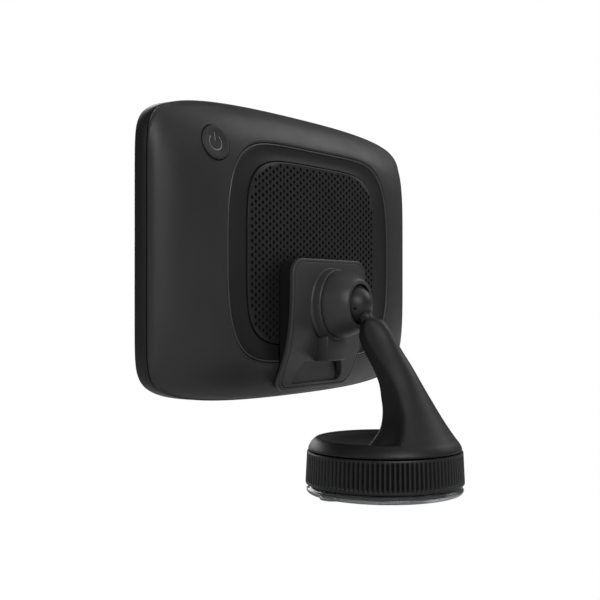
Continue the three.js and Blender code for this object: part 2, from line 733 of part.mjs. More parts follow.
function twistRing() {
  const below = turnedZ([[0, RING_Z - 1], [RING_BORE, RING_Z - 1], [RING_BORE, WEB_Z], [0, WEB_Z]]);
  const above = turnedZ([[0, WEB_Z + 1.2], [RING_BORE, WEB_Z + 1.2], [RING_BORE, RING_TOP + 1],
    [0, RING_TOP + 1]]);
  const eye = rod([0, 0, WEB_Z - 1], [0, 0, WEB_Z + 3], CAM_OUT + FIT, 40);
  return cut(ribbedRing(), below, above, eye);
}

function camSleeve() {
  const top = WEB_Z + 6.4;
  const sleeve = turnedZ([[CAM_IN, WEB_Z], [CAM_OUT, WEB_Z], [CAM_OUT, WEB_Z + 1.3],
    [CAM_OUT + 2, WEB_Z + 1.3], [CAM_OUT + 2, WEB_Z + 2], [CAM_OUT, WEB_Z + 2], [CAM_OUT, top],
    [CAM_IN, top], [CAM_IN, WEB_Z]], 36);
  const slots = [];
  const steps = 9;
  for (let i = 0; i <= steps; i += 1) {
    const turn = THREE.MathUtils.degToRad((LOCK_TURN * i) / steps);
    const z = PIN_Z + (LOCK_LIFT * i) / steps;
    const reach = CAM_OUT + 1;
    const end = [reach * Math.sin(turn), reach * Math.cos(turn)];
    slots.push(rod([-end[0], -end[1], z], [end[0], end[1], z], PIN_R + 0.35, 8));
  }
  return cut(sleeve, ...slots);
}

function baseHub() {
  const top = SPIGOT_Z - 0.2;
  const hub = turnedZ([[3.3, RING_Z], [RING_BORE - GAP, RING_Z], [RING_BORE - GAP, RING_Z + 1.4],
    [6.1, RING_Z + 1.4], [6.1, top], [3.3, top], [3.3, RING_Z]], 40);
  const slot = box(-PIN_R - 0.2, PIN_R + 0.2, -8, 8, PIN_Z - PIN_R - 0.3, PIN_Z + PIN_R + LOCK_LIFT + 0.3);
  const screws = [1, -1].flatMap((s) => [
    rod([s * SCREW_X, 0, 0], [s * SCREW_X, 0, 20], 1, 12),
    rod([s * SCREW_X, 0, 0], [s * SCREW_X, 0, RING_Z + 1.1], 1.35, 16),
  ]);
  return cut(hub, slot, ...screws);
}

function baseScrew(side) {
  const x = side * SCREW_X;
  const head = rod([x, 0, RING_Z + 0.1], [x, 0, RING_Z + 1], 1.25, 16);
  return union(head, rod([x, 0, RING_Z + 0.8], [x, 0, SPIGOT_Z + 2], 0.85, 12));
}

function plunger() {
  const stem = rod([0, 0, RING_Z], [0, 0, PIN_Z + 3], 3);
  return cut(stem, rod([0, -5, PIN_Z], [0, 5, PIN_Z], PIN_R + 0.04, 16));
}

function crossPin() {
  return rod([0, -CAM_OUT + 0.2, PIN_Z], [0, CAM_OUT - 0.2, PIN_Z], PIN_R, 16);
}

function suctionPad() {
  const r = PAD_R;
  const disc = turnedZ([[0, 0], [r - 1.4, 0], [r - 0.4, 0.35], [r, 1], [r - 0.3, 1.9],
    [r - 1.2, PAD_T], [0, PAD_T]], 56);
  const tab = new THREE.CylinderGeometry(4, 4, 1.1, 24);
  tab.rotateX(Math.PI / 2);
  const turn = THREE.MathUtils.degToRad(-13);
  tab.translate((r - 1.6) * Math.cos(turn), (r - 1.6) * Math.sin(turn), 0.95);
  return union(disc, solid(tab));
}

// ---- materials -----------------------------------------------------------
const FINISH = {
  shell_charcoal: ['#4a4b4d', 0.55, 0],
  trim_black: ['#232426', 0.5, 0],
  grille_black: ['#2c2d2f', 0.45, 0],
  mount_black: ['#36373a', 0.5, 0],
  rib_black: ['#2a2b2d', 0.6, 0],
  touch_glass: ['#0b0d10', 0.05, 0],
  display: ['#15181d', 0.2, 0],
  gel_clear: ['#b8bcc0', 0.15, 0],
  liner_rubber: ['#1a1a1b', 0.8, 0],
  steel: ['#9a9da1', 0.35, 1],
  magnet: ['#b9bcc0', 0.25, 1],
  board_green: ['#1e4a33', 0.5, 0],
  chip_black: ['#1c1c1e', 0.5, 0],
  cell_silver: ['#8f9296', 0.45, 0],
  ceramic_tan: ['#b9a27a', 0.6, 0],
  contact_gold: ['#c79a45', 0.3, 1],
};

const root = new THREE.Group();
root.name = 'gps_navigator';

function add(name, finish, body) {
  const [color, roughness, metalness] = FINISH[finish];
  const material = new THREE.MeshStandardMaterial({ name: finish, color, roughness, metalness });
  const mesh = new THREE.Mesh(geometryOf(body), material);
  mesh.name = name;
  root.add(mesh);
}

add('touch_glass', 'touch_glass', touchGlass());
add('front_frame', 'trim_black', frontFrame());
add('lcd_module', 'display', lcdModule());
add('mid_frame', 'steel', midFrame());
add('back_cover', 'shell_charcoal', backCover());
add('recess_ring', 'trim_black', recessRing());
add('speaker_grille', 'grille_black', speakerGrille());
add('speaker_driver', 'chip_black', speakerDriver());
add('speaker_gasket', 'liner_rubber', speakerGasket());
add('main_board', 'board_green', mainBoard());
add('rf_shield', 'steel', rfShield());
add('processor_chip', 'chip_black', processorChip());
add('gps_patch_antenna', 'ceramic_tan', patchAntenna());
add('battery', 'cell_silver', battery());
add('keeper_plate', 'steel', keeperPlate());
add('contact_block', 'contact_gold', contactBlock());
add('power_button', 'shell_charcoal', powerButton());
add('power_switch', 'chip_black', powerSwitch());
corners(...BOSS).forEach(([x, z], i) => add(`case_screw_${i + 1}`, 'steel', caseScrew(x, z)));

add('dock_rear_shell', 'mount_black', dockRearShell());
add('dock_front_shell', 'trim_black', dockFrontShell());
MAGNET_SITES.forEach(([x, z], i) => add(`dock_magnet_${i + 1}`, 'magnet', dockMagnet(x, z)));
add('dock_board', 'board_green', dockBoard());
add('pin_block', 'contact_gold', pinBlock());
add('usb_socket', 'steel', usbSocket());
dockScrewSites().forEach(([x, z], i) => add(`dock_screw_${i + 1}`, 'steel', dockScrew(x, z)));
add('socket_collar', 'mount_black', socketCollar());
add('pressure_pad', 'liner_rubber', pressurePad());
add('pressure_spring', 'steel', pressureSpring());
add('friction_ring', 'liner_rubber', frictionRing());
add('ball_liner', 'liner_rubber', ballLiner());

add('ball_stud', 'mount_black', ballStud());
add('mount_arm', 'mount_black', mountArm());
add('twist_ring', 'rib_black', twistRing());
add('cam_sleeve', 'steel', camSleeve());
add('base_hub', 'trim_black', baseHub());
add('base_screw_1', 'steel', baseScrew(1));
add('base_screw_2', 'steel', baseScrew(-1));
add('plunger', 'chip_black', plunger());
add('cross_pin', 'steel', crossPin());
add('suction_pad', 'gel_clear', suctionPad());

export default root;
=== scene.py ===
"""Looks of the portable navigator on its suction mount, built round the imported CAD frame."""
import json
import math

import bmesh
import bpy
import numpy as np
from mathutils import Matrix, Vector


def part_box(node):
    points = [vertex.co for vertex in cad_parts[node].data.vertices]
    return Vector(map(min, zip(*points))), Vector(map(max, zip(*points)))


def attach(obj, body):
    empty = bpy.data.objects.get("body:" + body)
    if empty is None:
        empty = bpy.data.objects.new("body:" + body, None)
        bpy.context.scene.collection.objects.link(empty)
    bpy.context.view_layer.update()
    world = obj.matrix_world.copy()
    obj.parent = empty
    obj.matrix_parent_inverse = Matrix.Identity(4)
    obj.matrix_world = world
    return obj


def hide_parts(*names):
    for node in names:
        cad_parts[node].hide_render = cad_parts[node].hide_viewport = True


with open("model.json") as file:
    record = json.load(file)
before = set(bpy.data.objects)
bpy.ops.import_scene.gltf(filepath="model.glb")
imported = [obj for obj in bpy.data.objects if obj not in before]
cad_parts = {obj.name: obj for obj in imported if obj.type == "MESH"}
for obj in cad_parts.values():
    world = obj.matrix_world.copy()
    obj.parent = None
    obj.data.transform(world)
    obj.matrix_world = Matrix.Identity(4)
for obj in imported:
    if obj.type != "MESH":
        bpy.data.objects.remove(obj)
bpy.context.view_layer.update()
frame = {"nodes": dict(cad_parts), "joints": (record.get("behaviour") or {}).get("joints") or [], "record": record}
MM = 0.001


# ---- sizes read from the frame ---------------------------------------------
def centre_of(node):
    lo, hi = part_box(node)
    return (lo + hi) / 2


def half_of(node):
    lo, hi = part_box(node)
    return (hi - lo) / 2


BODY = centre_of("front_frame")
BODY_A, _, BODY_B = half_of("front_frame")
FRAME_FRONT, FRAME_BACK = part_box("front_frame")[0].y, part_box("front_frame")[1].y
OUTLINE_Y = FRAME_FRONT + 0.7 * MM
RIM_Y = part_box("back_cover")[1].y
COVER_SEAM = FRAME_BACK + 0.2 * MM
RIM_A, RIM_B = (half_of("recess_ring")[i] + 0.25 * MM for i in (0, 2))
RECESS_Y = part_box("recess_ring")[0].y - 0.1 * MM
GRILLE_A, GRILLE_B = (half_of("speaker_grille")[i] for i in (0, 2))
GRILLE_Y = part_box("speaker_grille")[1].y
PAN = next(j for j in frame["joints"] if j["name"] == "pan")
BALL = Vector(PAN["pos_m"])
BALL_R = half_of("ball_stud").x
KEY_AXIS = -Vector(next(j for j in frame["joints"] if j["name"] == "power_press")["axis"]).normalized()
DOCK_LO, DOCK_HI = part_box("dock_rear_shell")
RING_LO, RING_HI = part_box("twist_ring")
RING_R = half_of("twist_ring").x
PAD_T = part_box("suction_pad")[1].z
COLLAR_FOOT_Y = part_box("socket_collar")[0].y


# ---- curve and mesh helpers ------------------------------------------------
def mix(a, b, t):
    return a + (b - a) * t


def hermite(table, at):
    """Smooth reading of rows [key, value, ...] at one key."""
    rows = np.array(table, float)
    keys = rows[:, 0]
    slopes = np.gradient(rows, keys, axis=0)
    i = int(np.clip(np.searchsorted(keys, at) - 1, 0, len(keys) - 2))
    width = keys[i + 1] - keys[i]
    t = (at - keys[i]) / width
    a, b = rows[i], rows[i + 1]
    ma, mb = slopes[i] * width, slopes[i + 1] * width
    out = (2 * t**3 - 3 * t**2 + 1) * a + (t**3 - 2 * t**2 + t) * ma
    return out + (3 * t**2 - 2 * t**3) * b + (t**3 - t**2) * mb


def oval(a, b, nx, nz, count):
    """Squared oval |x/a|^nx + |z/b|^nz = 1, points closest together at its corners."""
    turn = np.linspace(0, math.pi / 2, 361)
    u, v = np.cos(turn), np.sin(turn)
    lo, hi = np.full_like(u, 0.5), np.full_like(u, 1.6)
    for _ in range(34):
        mid = (lo + hi) / 2
        outside = (mid * u) ** nx + (mid * v) ** nz > 1
        hi = np.where(outside, mid, hi)
        lo = np.where(outside, lo, mid)
    x, z = lo * u, lo * v
    step = np.hypot(np.diff(x), np.diff(z))
    heading = np.unwrap(np.arctan2(np.diff(z), np.diff(x)))
    bend = np.concatenate([[0], np.abs(np.diff(heading)), [0]])
    run = np.concatenate([[0], np.cumsum(step)])
    turned = np.cumsum(bend)
    share = 0.55 * run / run[-1] + 0.45 * turned / turned[-1]
    want = (np.arange(count // 4) + 0.5) / (count // 4)
    qx, qz = a * np.interp(want, share, x), b * np.interp(want, share, z)
    xs = np.concatenate([qx, -qx[::-1], -qx, qx[::-1]])
    zs = np.concatenate([qz, qz[::-1], -qz, -qz[::-1]])
    return np.stack([xs, zs], axis=1)


def mesh_object(name, verts, faces):
    mesh = bpy.data.meshes.new(name)
    mesh.from_pydata([tuple(v) for v in verts], [], faces)
    mesh.validate()
    obj = bpy.data.objects.new(name, mesh)
    bpy.context.scene.collection.objects.link(obj)
    face_outwards(obj)
    return obj


def face_outwards(obj):
    bm = bmesh.new()
    bm.from_mesh(obj.data)
    bmesh.ops.remove_doubles(bm, verts=bm.verts, dist=1e-7)
    bmesh.ops.recalc_face_normals(bm, faces=bm.faces)
    bm.to_mesh(obj.data)
    bm.free()


def skin(name, rings, closed=False):
    """Rings of equal point count joined by quads; closed joins the last ring to the first."""
    n = len(rings[0])
    verts = [p for ring in rings for p in ring]
    faces = []
    bands = len(rings) if closed else len(rings) - 1
    for r in range(bands):
        here, there = r * n, ((r + 1) % len(rings)) * n
        for i in range(n):
            j = (i + 1) % n
            faces.append((here + i, here + j, there + j, there + i))
    if not closed:
        faces.append(tuple(range(n)))
        last = (len(rings) - 1) * n
        faces.append(tuple(last + i for i in range(n)))
    return mesh_object(name, verts, faces)


def revolve(name, profile, origin, axis, seg=128):
    """Closed profile of (radius, height) turned about an axis through origin."""
    axis = Vector(axis).normalized()
    side = axis.orthogonal().normalized()
    other = axis.cross(side)
    closed = profile[0] == profile[-1]
    points = profile[:-1] if closed else profile
    rings = []
    for radius, height in points:
        ring = []
        for i in range(seg):
            t = 2 * math.pi * i / seg
            out = side * math.cos(t) + other * math.sin(t)
            ring.append(origin + axis * height + out * max(radius, 1e-6))
        rings.append(ring)
    return skin(name, rings, closed=closed)


def rounded(profile, radius, steps=5):
    """A closed or open profile with each inner corner replaced by an arc-like curve."""
    out = [profile[0]]
    for before, here, after in zip(profile, profile[1:], profile[2:]):
        p, q, r = (np.array(v, float) for v in (before, here, after))
        cut = min(radius, np.linalg.norm(p - q) * 0.45, np.linalg.norm(r - q) * 0.45)
        a = q + (p - q) / max(np.linalg.norm(p - q), 1e-12) * cut
        b = q + (r - q) / max(np.linalg.norm(r - q), 1e-12) * cut
        for k in range(steps + 1):
            t = k / steps
            out.append(tuple((1 - t) ** 2 * a + 2 * t * (1 - t) * q + t * t * b))
    out.append(profile[-1])
    return out


def carve(obj, tool, operation="DIFFERENCE"):
    """Boolean of obj with tool, applied; tool is used up."""
    mod = obj.modifiers.new("carve", "BOOLEAN")
    mod.operation = operation
    mod.object = tool
    mod.solver = "MANIFOLD"
    apply_modifiers(obj)
    bpy.data.objects.remove(tool)
    return obj


def apply_modifiers(obj):
    graph = bpy.context.evaluated_depsgraph_get()
    obj.data = bpy.data.meshes.new_from_object(obj.evaluated_get(graph))
    obj.modifiers.clear()


def smooth(obj, degrees=32):
    obj.data.polygons.foreach_set("use_smooth", [True] * len(obj.data.polygons))
    obj.data.set_sharp_from_angle(angle=math.radians(degrees))
    return obj


def bevel(obj, width, segments=3, degrees=30):
    mod = obj.modifiers.new("edges", "BEVEL")
    mod.width = width
    mod.segments = segments
    mod.limit_method = "ANGLE"
    mod.angle_limit = math.radians(degrees)
    mod.harden_normals = True
    return obj


def block(name, lo, hi):
    x0, y0, z0 = lo
    x1, y1, z1 = hi
    return skin(name, [[(x0, y0, z), (x1, y0, z), (x1, y1, z), (x0, y1, z)] for z in (z0, z1)])


def finish_piece(obj, body, slot, material, *nodes):
    obj.data.materials.clear()
    obj.data.materials.append(material)
    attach(obj, body)
    if nodes:
        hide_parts(*nodes)
    return obj


# ---- materials -------------------------------------------------------------
class Nodes:
    """A small writer of node trees: every socket value is set on the shader itself."""

    def __init__(self, name):
        self.material = bpy.data.materials.new(name)
        self.material.use_nodes = True
        self.tree = self.material.node_tree
        self.shader = self.tree.nodes["Principled BSDF"]
        self.coords = self.tree.nodes.new("ShaderNodeTexCoord").outputs["Object"]

    def add(self, kind, **inputs):
        node = self.tree.nodes.new(kind)
        for key, value in inputs.items():
            socket = node.inputs[key.replace("_", " ")]
            if isinstance(value, bpy.types.NodeSocket):
                self.tree.links.new(value, socket)
            else:
                socket.default_value = value
        return node

    def noise(self, scale, detail=3.0, roughness=0.55):
        return self.add("ShaderNodeTexNoise", Vector=self.coords, Scale=scale, Detail=detail,
                        Roughness=roughness).outputs["Fac"]

    def span(self, value, low, high, source=(0.3, 0.7)):
        node = self.add("ShaderNodeMapRange", Value=value)
        node.inputs["From Min"].default_value = source[0]
        node.inputs["From Max"].default_value = source[1]
        node.inputs["To Min"].default_value = low
        node.inputs["To Max"].default_value = high
        return node.outputs["Result"]

    def blend(self, factor, low, high):
        node = self.tree.nodes.new("ShaderNodeMix")
        node.data_type = "RGBA"
        self.tree.links.new(factor, node.inputs[0])
        node.inputs[6].default_value = (*low, 1)
        node.inputs[7].default_value = (*high, 1)
        return node.outputs[2]

    def bump(self, height, strength, distance, below=None):
        node = self.add("ShaderNodeBump", Height=height, Strength=strength, Distance=distance)
        if below is not None:
            self.tree.links.new(below, node.inputs["Normal"])
        return node.outputs["Normal"]

    def set(self, **inputs):
        for key, value in inputs.items():
            socket = self.shader.inputs[key.replace("_", " ")]
            if isinstance(value, bpy.types.NodeSocket):
                self.tree.links.new(value, socket)
            else:
                socket.default_value = value
        return self.material


def moulded(name, tone, rough, grain=9000.0, depth=0.02, spread=0.12):
    """Injection-moulded plastic: spark-eroded grain, faint tone drift and handled patches."""
    n = Nodes(name)
    drift = n.noise(28.0, 4.0)
    grain_height = n.noise(grain, 2.0, 0.6)
    low = tuple(c * (1 - spread) for c in tone)
    high = tuple(c * (1 + spread) for c in tone)
    colour = n.blend(n.span(drift, 0.0, 1.0), low, high)
    patch = n.noise(75.0, 5.0, 0.65)
    roughness = n.span(patch, rough - 0.05, rough + 0.05)
    wave = n.bump(n.noise(160.0, 2.0), 0.05, 0.0002)
    normal = n.bump(grain_height, 0.35, depth * MM, wave)
    return n.set(Base_Color=colour, Roughness=roughness, Normal=normal, Specular_IOR_Level=0.32)


def glassy(name, tone):
    n = Nodes(name)
    smear = n.noise(42.0, 5.0, 0.6)
    colour = n.blend(n.span(smear, 0.0, 1.0), tone, tuple(c * 1.5 for c in tone))
    return n.set(Base_Color=colour, Roughness=n.span(smear, 0.035, 0.075), IOR=1.5,
                 Normal=n.bump(n.noise(18.0), 0.02, 0.0002))


def gel(name):
    n = Nodes(name)
    cloud = n.noise(120.0, 4.0)
    colour = n.blend(n.span(cloud, 0.0, 1.0), (0.55, 0.57, 0.58), (0.78, 0.8, 0.81))
    return n.set(Base_Color=colour, Roughness=n.span(cloud, 0.06, 0.16), IOR=1.42,
                 Transmission_Weight=0.92, Normal=n.bump(n.noise(260.0), 0.12, 0.0003))


def metal(name, tone, rough, brushed=True):
    n = Nodes(name)
    streak = n.tree.nodes.new("ShaderNodeMapping")
    streak.inputs["Scale"].default_value = (1.0, 1.0, 30.0) if brushed else (1.0, 1.0, 1.0)
    n.tree.links.new(n.coords, streak.inputs["Vector"])
    lines = n.add("ShaderNodeTexNoise", Vector=streak.outputs["Vector"], Scale=900.0, Detail=3.0)
    fac = n.span(lines.outputs["Fac"], 0.0, 1.0)
    colour = n.blend(fac, tuple(c * 0.8 for c in tone), tone)
    return n.set(Base_Color=colour, Metallic=1.0,
                 Roughness=n.span(lines.outputs["Fac"], rough - 0.06, rough + 0.08),
                 Normal=n.bump(lines.outputs["Fac"], 0.1, 0.00005))


def board(name):
    n = Nodes(name)
    cells = n.add("ShaderNodeTexVoronoi", Vector=n.coords, Scale=420.0).outputs["Distance"]
    tracks = n.span(cells, 0.0, 1.0, (0.25, 0.3))
    colour = n.blend(tracks, (0.012, 0.075, 0.035), (0.02, 0.13, 0.06))
    return n.set(Base_Color=colour, Roughness=n.span(n.noise(60.0), 0.3, 0.45),
                 Normal=n.bump(tracks, 0.2, 0.00004))


SLOTS = {
    "shell_charcoal": moulded("shell_charcoal", (0.022, 0.022, 0.0235), 0.44, depth=0.018),
    "trim_black": moulded("trim_black", (0.008, 0.008, 0.0085), 0.4, depth=0.014),
    "grille_black": moulded("grille_black", (0.009, 0.009, 0.0095), 0.42, depth=0.014),
    "mount_black": moulded("mount_black", (0.017, 0.017, 0.018), 0.4, depth=0.02),
    "rib_black": moulded("rib_black", (0.012, 0.012, 0.013), 0.42, depth=0.025),
    "touch_glass": glassy("touch_glass", (0.004, 0.0045, 0.006)),
    "display": glassy("display", (0.01, 0.011, 0.014)),
    "gel_clear": gel("gel_clear"),
    "liner_rubber": moulded("liner_rubber", (0.01, 0.01, 0.01), 0.7, depth=0.03),
    "steel": metal("steel", (0.5, 0.5, 0.51), 0.32),
    "magnet": metal("magnet", (0.66, 0.66, 0.68), 0.2, brushed=False),
    "board_green": board("board_green"),
    "chip_black": moulded("chip_black", (0.012, 0.012, 0.013), 0.5),
    "cell_silver": metal("cell_silver", (0.4, 0.41, 0.42), 0.42, brushed=False),
    "ceramic_tan": moulded("ceramic_tan", (0.42, 0.33, 0.18), 0.6),
    "contact_gold": metal("contact_gold", (0.83, 0.58, 0.23), 0.25, brushed=False),
}
# lit and shaded copies of slot tones, set apart only by painted light and painted shade
# painted light: a lighter copy of mount_black for the dock's plate, flange, USB tunnel and collar
DOCK_PLATE_LIT = moulded("dock_plate_painted_light", (0.036, 0.036, 0.0378), 0.4, depth=0.02)
# painted shade: a near-black copy for the dock's front shell, darker than its slot because it stands in shadow
DOCK_INNER_SHADED = moulded("dock_inner_painted_shade", (0.003, 0.003, 0.003), 0.6, depth=0.02)
# painted shade: a darker copy of mount_black for the arm, dimming the highlight the lamps put on it
ARM_SHADED = moulded("arm_painted_shade", (0.0095, 0.0095, 0.0102), 0.46, depth=0.02)
# painted highlight: a lighter, glossier tone on the bead round the recess, standing in for its catch light
BEAD_HIGHLIGHT = moulded("recess_painted_highlight", (0.06, 0.06, 0.062), 0.3, depth=0.002)
# painted highlight: light grey in the on/off mark's groove, standing in for light caught on its edges
MARK_HIGHLIGHT = moulded("mark_painted_highlight", (0.22, 0.22, 0.23), 0.5, depth=0.006)


def dress_frame():
    """Gives every CAD node the material of its slot, so the pieces that stay in view match the rest; the dock's
    front shell gets a near-black copy instead, painted shade.
    """
    painted_shade_nodes = {"dock_front_shell": DOCK_INNER_SHADED}
    for part in frame["record"]["subparts"]:
        node = frame["nodes"][part["node"]]
        node.data.materials.clear()
        node.data.materials.append(painted_shade_nodes.get(part["node"], SLOTS[part["material_slot"]]))
        smooth(node, 28)


# ---- navigator body --------------------------------------------------------
# powers (nx, nz) of the squared ovals that the body's sections follow
BODY_POWERS = (2.6, 13)
RIM_POWERS = (6.2, 3)
SHELF_POWERS = (5, 4)
GRILLE_POWERS = (4.8, 4.8)
WINDOW_POWERS = (18, 18)
COVER_WALL = 1.5 * MM
SHELF = 12 * MM
# [share of the way in, height share, half width share, half height share]
COVER_STEPS = [
    [0, 0.307, 0, 0], [0.1, 0.43, 0.04, 0.05], [0.26, 0.58, 0.14, 0.18], [0.46, 0.74, 0.31, 0.37],
    [0.66, 0.88, 0.56, 0.61], [0.84, 0.965, 0.79, 0.82], [1, 1, 0.985, 0.985],
]
RING_POINTS = 192


def body_ring(a, b, nx, nz, y):
    return [(x, y, BODY.z + z) for x, z in oval(a, b, nx, nz, RING_POINTS)]


def cover_section(t):
    """Half width, half height, both powers and height share of the cover, t of the way in to the rim."""
    _, height, wide, tall = hermite(COVER_STEPS, t)
    nx, nz = (1 / mix(1 / outer, 1 / inner, t) for outer, inner in zip(BODY_POWERS, RIM_POWERS))
    return mix(BODY_A, RIM_A, wide), mix(BODY_B, RIM_B, tall), nx, nz, height


def cover_ring(t, sink=0.0):
    """One section of the cover's outer face, or of its inner face when sunk by the wall."""
    a, b, nx, nz, height = cover_section(t)
    rise = RIM_Y - OUTLINE_Y
    return body_ring(a - sink, b - sink, nx, nz, OUTLINE_Y + rise * height - sink)


def cover_point(x, z):
    """Height of the cover's outer face over (x, z from the centre)."""
    lo, hi = 0.0, 1.0
    for _ in range(30):
        t = (lo + hi) / 2
        a, b, nx, nz, _ = cover_section(t)
        outside = abs(x / a) ** nx + abs(z / b) ** nz > 1
        lo, hi = (lo, t) if outside else (t, hi)
    return OUTLINE_Y + (RIM_Y - OUTLINE_Y) * float(hermite(COVER_STEPS, lo)[1])


def key_centre():
    """Where the power button's axis meets the cover."""
    lo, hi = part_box("power_button")
    x, z = (lo.x + hi.x) / 2, (lo.z + hi.z) / 2
    middle = (lo + hi) / 2
    for _ in range(6):
        y = cover_point(x, z - BODY.z)
        step = (y - middle.y) / KEY_AXIS.y
        x, z = middle.x + KEY_AXIS.x * step, middle.z + KEY_AXIS.z * step
    return Vector((x, y, z))


KEY = key_centre()
KEY_R = 5.1 * MM
KEY_GAP = 0.32 * MM


def make_cover():
    """Rear cover in one closed skin: seam, shoulders, lip, shelf and inner face, then the button's well."""
    rings = []
    for inset, back in ((1.5, 0.0), (0.45, 0.0), (0.2, 0.05), (0.05, 0.2)):
        rings.append(body_ring(BODY_A - inset * MM, BODY_B - inset * MM, *BODY_POWERS,
                               COVER_SEAM + back * MM))
    rings.append([(x, COVER_SEAM + 0.45 * MM, z) for x, _, z in cover_ring(0.0)])
    rings += [cover_ring(t) for t in np.linspace(0.03, 0.965, 34)]
    lip = [(0.62, 0.0), (0.4, -0.02), (0.2, -0.09), (0.06, -0.22), (0.0, -0.42), (0.0, -0.8)]
    rings += [body_ring(RIM_A + g * MM, RIM_B + g * MM, *RIM_POWERS, RIM_Y + d * MM) for g, d in lip]
    rings.append(body_ring(RIM_A, RIM_B, *RIM_POWERS, RECESS_Y))
    for y in (RECESS_Y, RECESS_Y - 0.9 * MM):
        rings.append(body_ring(RIM_A - SHELF, RIM_B - SHELF, *SHELF_POWERS, y))
    rings += [cover_ring(t, COVER_WALL) for t in (0.9, 0.6, 0.3, 0.1)]
    cover = skin("cover_skin", rings, closed=True)
    well_r, foot, head = KEY_R + KEY_GAP, -8 * MM, 3 * MM
    carve(cover, revolve("well", [(0, foot), (well_r, foot), (well_r, head), (0, head)], KEY,
                         KEY_AXIS, 96))
    smooth(cover, 38)
    return finish_piece(cover, "navigator", "shell_charcoal", SLOTS["shell_charcoal"], "back_cover")


def make_recess_band():
    """The dished band between the recess's wall and the grille, with a bead round its edge whose lighter tone is a
    painted highlight.
    """
    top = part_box("recess_ring")[1].y
    outer_a, outer_b = RIM_A - 0.22 * MM, RIM_B - 0.22 * MM
    inner_a, inner_b = GRILLE_A + 0.3 * MM, GRILLE_B + 0.3 * MM
    rings = [body_ring(outer_a, outer_b, *RIM_POWERS, RECESS_Y)]
    for inset, drop in ((0.0, 0.5), (0.42, 0.5), (0.46, 0.08), (0.6, 0.0)):
        rings.append(body_ring(outer_a - inset * MM, outer_b - inset * MM, *RIM_POWERS,
                               top - drop * MM))
    for t in np.linspace(0.12, 0.94, 9):
        a, b = mix(outer_a, inner_a, t), mix(outer_b, inner_b, t)
        nx, nz = (mix(rim, grille, t) for rim, grille in zip(RIM_POWERS, GRILLE_POWERS))
        rings.append(body_ring(a, b, nx, nz, top - 0.22 * MM * math.sin(math.pi * t)))
    for inset, drop in ((0.12, 0.02), (0.03, 0.12), (0.0, 0.35)):
        rings.append(body_ring(inner_a + inset * MM, inner_b + inset * MM, *GRILLE_POWERS,
                               top - drop * MM))
    rings.append(body_ring(inner_a, inner_b, *GRILLE_POWERS, RECESS_Y))
    bead = [body_ring(outer_a - inset * MM, outer_b - inset * MM, *RIM_POWERS, top + rise * MM)
            for inset, rise in ((0.0, -0.45), (0.0, 0.08), (0.07, 0.22), (0.2, 0.29), (0.33, 0.22),
                                (0.4, 0.08), (0.4, -0.45))]
    finish_piece(smooth(skin("recess_bead", bead, closed=True), 50), "navigator", "trim_black",
                 BEAD_HIGHLIGHT)
    band = smooth(skin("recess_band", rings, closed=True), 40)
    return finish_piece(band, "navigator", "trim_black", SLOTS["trim_black"], "recess_ring")


HOLE_PITCH = 2.15 * MM
HOLE_R = 0.56 * MM
HOLE_EDGE = 1.15 * MM


def hole_sites():
    """Centres of the grille's staggered holes, clear of its rounded edge."""
    column = HOLE_PITCH * math.sqrt(3) / 2
    reach_x, reach_z = GRILLE_A - HOLE_EDGE, GRILLE_B - HOLE_EDGE
    nx, nz = GRILLE_POWERS
    sites = []
    for i in range(-25, 26):
        for j in range(-20, 21):
            x = i * column
            z = (j + 0.5 * (i % 2)) * HOLE_PITCH
            if (abs(x) / reach_x) ** nx + (abs(z) / reach_z) ** nz < 1:
                sites.append((x, BODY.z + z))
    return sites


def hole_cutters(y0, y1, sides=14):
    verts, faces = [], []
    for x, z in hole_sites():
        base = len(verts)
        for y in (y0, y1):
            flare = HOLE_R * (1.0 if y == y0 else 1.12)
            for k in range(sides):
                t = 2 * math.pi * k / sides
                verts.append((x + flare * math.cos(t), y, z + flare * math.sin(t)))
        faces.append(tuple(base + k for k in range(sides)))
        faces.append(tuple(base + sides + k for k in reversed(range(sides))))
        for k in range(sides):
            j = (k + 1) % sides
            faces.append((base + k, base + sides + k, base + sides + j, base + j))
    return mesh_object("hole_cutters", verts, faces)


def make_grille():
    """The grille's plate, with every hole cut most of the way through it."""
    low = RECESS_Y + 0.1 * MM
    rings = [body_ring(GRILLE_A, GRILLE_B, *GRILLE_POWERS, low)]
    for inset, drop in ((0.0, 0.28), (0.06, 0.1), (0.22, 0.0)):
        rings.append(body_ring(GRILLE_A - inset * MM, GRILLE_B - inset * MM, *GRILLE_POWERS,
                               GRILLE_Y - drop * MM))
    plate = skin("grille_plate", rings)
    carve(plate, hole_cutters(low + 0.25 * MM, GRILLE_Y + 0.5 * MM))
    smooth(plate, 30)
    return finish_piece(plate, "navigator", "grille_black", SLOTS["grille_black"], "speaker_grille")


def make_key():
    """The power button: a dished cap with the on/off mark cut in and filled with inlays whose light grey is a
    painted highlight.
    """
    cap = revolve("power_key_cap", rounded([
        (0, -2.4 * MM), (KEY_R, -2.4 * MM), (KEY_R, 0.16 * MM), (KEY_R * 0.86, 0.2 * MM),
        (KEY_R * 0.5, 0.08 * MM), (0, 0.04 * MM)], 0.25 * MM), KEY, KEY_AXIS, 96)
    for tool in symbol_cutters():
        carve(cap, tool)
    for index, inlay in enumerate(symbol_cutters(0.2, -0.1 * MM)):
        inlay.name = f"power_mark_{index + 1}"
        finish_piece(inlay, "power_key", "trim_black", MARK_HIGHLIGHT)
    smooth(cap, 30)
    return finish_piece(cap, "power_key", "shell_charcoal", SLOTS["shell_charcoal"], "power_button")


def key_basis():
    up = Vector((0, 0, 1))
    up = (up - KEY_AXIS * up.dot(KEY_AXIS)).normalized()
    return up, KEY_AXIS.cross(up)


